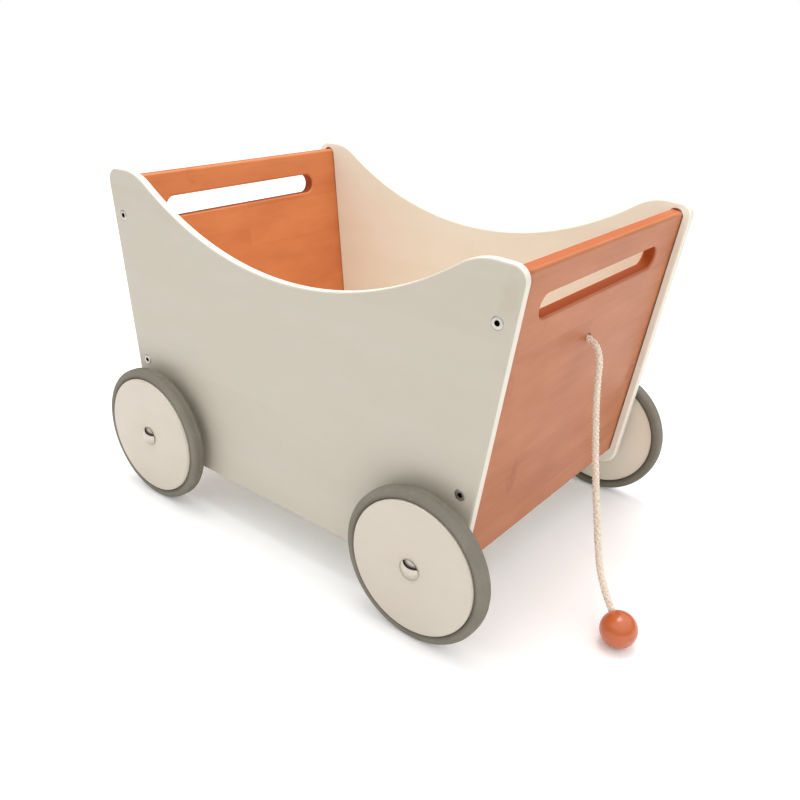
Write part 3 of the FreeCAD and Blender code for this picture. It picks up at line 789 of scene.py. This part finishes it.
def make_axle_bolt(corner):
    """An axle bolt with a polished domed head that stands on the disc."""
    node = f"axle_bolt_{corner}"
    near, far = span_y(node)
    end_play = 0.0003
    seat = span_y(f"wheel_disc_{corner}")[1] + end_play
    head = radius_of(node)
    shank = 0.004
    tip = 0.0006
    rim = 0.0007
    rise = far - seat - rim
    dome = (head ** 2 + rise ** 2) / (2 * rise)
    profile = [(0, near), (shank - tip, near), (shank, near + tip), (shank, seat), (head - tip, seat)]
    slices = 20
    widest = math.asin(head / dome)
    for step in range(slices + 1):
        angle = widest * (1 - step / slices)
        radius = dome * math.sin(angle) if step < slices else 0
        profile.append((radius, far - dome + dome * math.cos(angle)))
    bolt = lathe(f"axle_bolt_turned_{corner}", profile, on_wheel(corner, 0), 96, closed=False)
    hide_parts(node)
    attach(bolt, "chassis")
    return dress(bolt, chrome)


for corner in CORNERS:
    make_tyre(corner)
    make_disc(corner)
    make_axle_bolt(corner)


# ---------------------------------------------------------------- the bolts of the box

def make_panel_bolts(end_name, end):
    """Four socket-head bolts with a round edge and a chamfered hexagon socket."""
    node = f"{end_name}_panel_bolts"
    low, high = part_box(node)
    near_x, far_x = sorted((abs(low[0]), abs(high[0])))
    top = span_y(node)[1]
    head = 0.0051
    head_height = 0.0029
    length = 0.018
    shank = 0.003
    broken = 0.0006
    edge = 0.0008
    socket = 0.002
    socket_depth = 0.0034
    bevel = 0.00025
    seat = top - head_height
    tip = seat - length
    socket_floor = top - socket_depth
    profile = [(0, tip), (shank - broken, tip), (shank, tip + broken), (shank, seat), (head, seat)]
    profile += [(head - along, top - edge + up) for along, up in quarter_arc(edge)]
    profile += [
        (socket + bevel, top, 6),
        (socket, top - bevel, 6),
        (socket, socket_floor, 6),
        (0, socket_floor - broken),
    ]
    for centre_x, centre_z in ((near_x + head, low[2] + head), (far_x - head, high[2] - head)):
        for side in (-1, 1):
            bolt = lathe(node + "_turned", profile, about(0, 0, side, 0), 72, closed=False)
            bolt.location = (end * centre_x, 0, centre_z)
            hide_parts(node)
            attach(bolt, "chassis")
            dress(bolt, bolt_zinc)


make_panel_bolts("front", 1)
make_panel_bolts("rear", -1)


# ---------------------------------------------------------------- carried-over CAD nodes

NODE_PAINT = {
    "side_panel": side_paint,
    "front_panel_inserts": brass,
    "rear_panel_inserts": brass,
    "front_panel": end_paint,
    "rear_panel": end_paint,
    "floor_panel": floor_paint,
    "hub_bush": bush_nylon,
    "wheel_spacer": spacer_nylon,
    "axle_washer": zinc,
    "lock_nut": zinc,
}

for node_name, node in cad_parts.items():
    kind = next((kind for kind in NODE_PAINT if node_name.startswith(kind)), None)
    if kind:
        dress(node, NODE_PAINT[kind])


# ---------------------------------------------------------------- floor and light

FLOOR_GLOW = 0.12                      # only as seen by the camera: it lights nothing
ROOM_LOW = 0.58                        # the room's brightness at the floor
ROOM_HIGH = 1.45                       # and overhead
ROOM_DIM = 0.04                        # what the dim band lets through


def make_floor():
    """A white table with a faint glow, which keeps its shadows pale."""
    half = 4.0
    mesh = bpy.data.meshes.new("floor")
    corners = [(-half, -half, 0), (half, -half, 0), (half, half, 0), (-half, half, 0)]
    mesh.from_pydata(corners, [], [(0, 1, 2, 3)])
    floor = bpy.data.objects.new("floor", mesh)
    bpy.context.scene.collection.objects.link(floor)
    nodes = Nodes("pale_floor")
    cloud = nodes.noise(nodes.place, 1.5, 2.0)
    seen = nodes.node("ShaderNodeLightPath").outputs["Is Camera Ray"]
    colour = nodes.mix(cloud, (0.93, 0.93, 0.93, 1), (0.95, 0.95, 0.95, 1))
    nodes.link(colour, nodes.shader.inputs["Base Color"])
    nodes.link(nodes.maths("MULTIPLY", seen, FLOOR_GLOW), nodes.shader.inputs["Emission Strength"])
    nodes.shader.inputs["Roughness"].default_value = 0.9
    nodes.shader.inputs["Specular IOR Level"].default_value = 0.1
    nodes.shader.inputs["Emission Color"].default_value = (1, 1, 1, 1)
    mesh.materials.append(nodes.material)


def add_area_light(name, place, aim, size, power):
    data = bpy.data.lights.new(name, "AREA")
    data.shape = "DISK"
    data.size = size
    data.energy = power
    light = bpy.data.objects.new(name, data)
    light.location = place
    light.rotation_euler = (Vector(aim) - Vector(place)).to_track_quat("-Z", "Y").to_euler()
    bpy.context.scene.collection.objects.link(light)


def make_world():
    """A white room that grows brighter overhead, before a white backdrop.

    In reflections the room has a dim band near the floor.
    """
    world = bpy.data.worlds.new("studio")
    world.use_nodes = True
    tree = world.node_tree

    def node(kind, links, **values):
        made = tree.nodes.new(kind)
        for key, value in values.items():
            made.inputs[key.replace("_", " ")].default_value = value
        for key, source in links.items():
            tree.links.new(source, made.inputs[key])
        return made

    coordinates = tree.nodes.new("ShaderNodeTexCoord")
    path = tree.nodes.new("ShaderNodeLightPath")
    direction = node("ShaderNodeSeparateXYZ", {"Vector": coordinates.outputs["Generated"]})
    height = {"Value": direction.outputs["Z"]}
    glow = node(
        "ShaderNodeMapRange", height, From_Min=0.0, From_Max=1.0, To_Min=ROOM_LOW, To_Max=ROOM_HIGH)
    band = node(
        "ShaderNodeMapRange", height, From_Min=0.2, From_Max=0.5, To_Min=ROOM_DIM, To_Max=1.0)
    mirrored = node("ShaderNodeMath", {0: glow.outputs["Result"], 1: band.outputs["Result"]})
    mirrored.operation = "MULTIPLY"
    light = node("ShaderNodeMix", {
        "Factor": path.outputs["Is Glossy Ray"],
        "A": glow.outputs["Result"],
        "B": mirrored.outputs[0],
    })
    strength = node(
        "ShaderNodeMix", {"Factor": path.outputs["Is Camera Ray"], "A": light.outputs["Result"]}, B=1.0)
    background = tree.nodes["Background"]
    background.inputs["Color"].default_value = (1, 1, 1, 1)
    tree.links.new(strength.outputs["Result"], background.inputs["Strength"])
    bpy.context.scene.world = world


make_floor()
make_world()
add_area_light("overhead_softbox", place=(-0.15, 0.2, 2.0), aim=(0, 0, 0.1), size=1.2, power=20.0)
bpy.context.scene.view_settings.view_transform = "Standard"
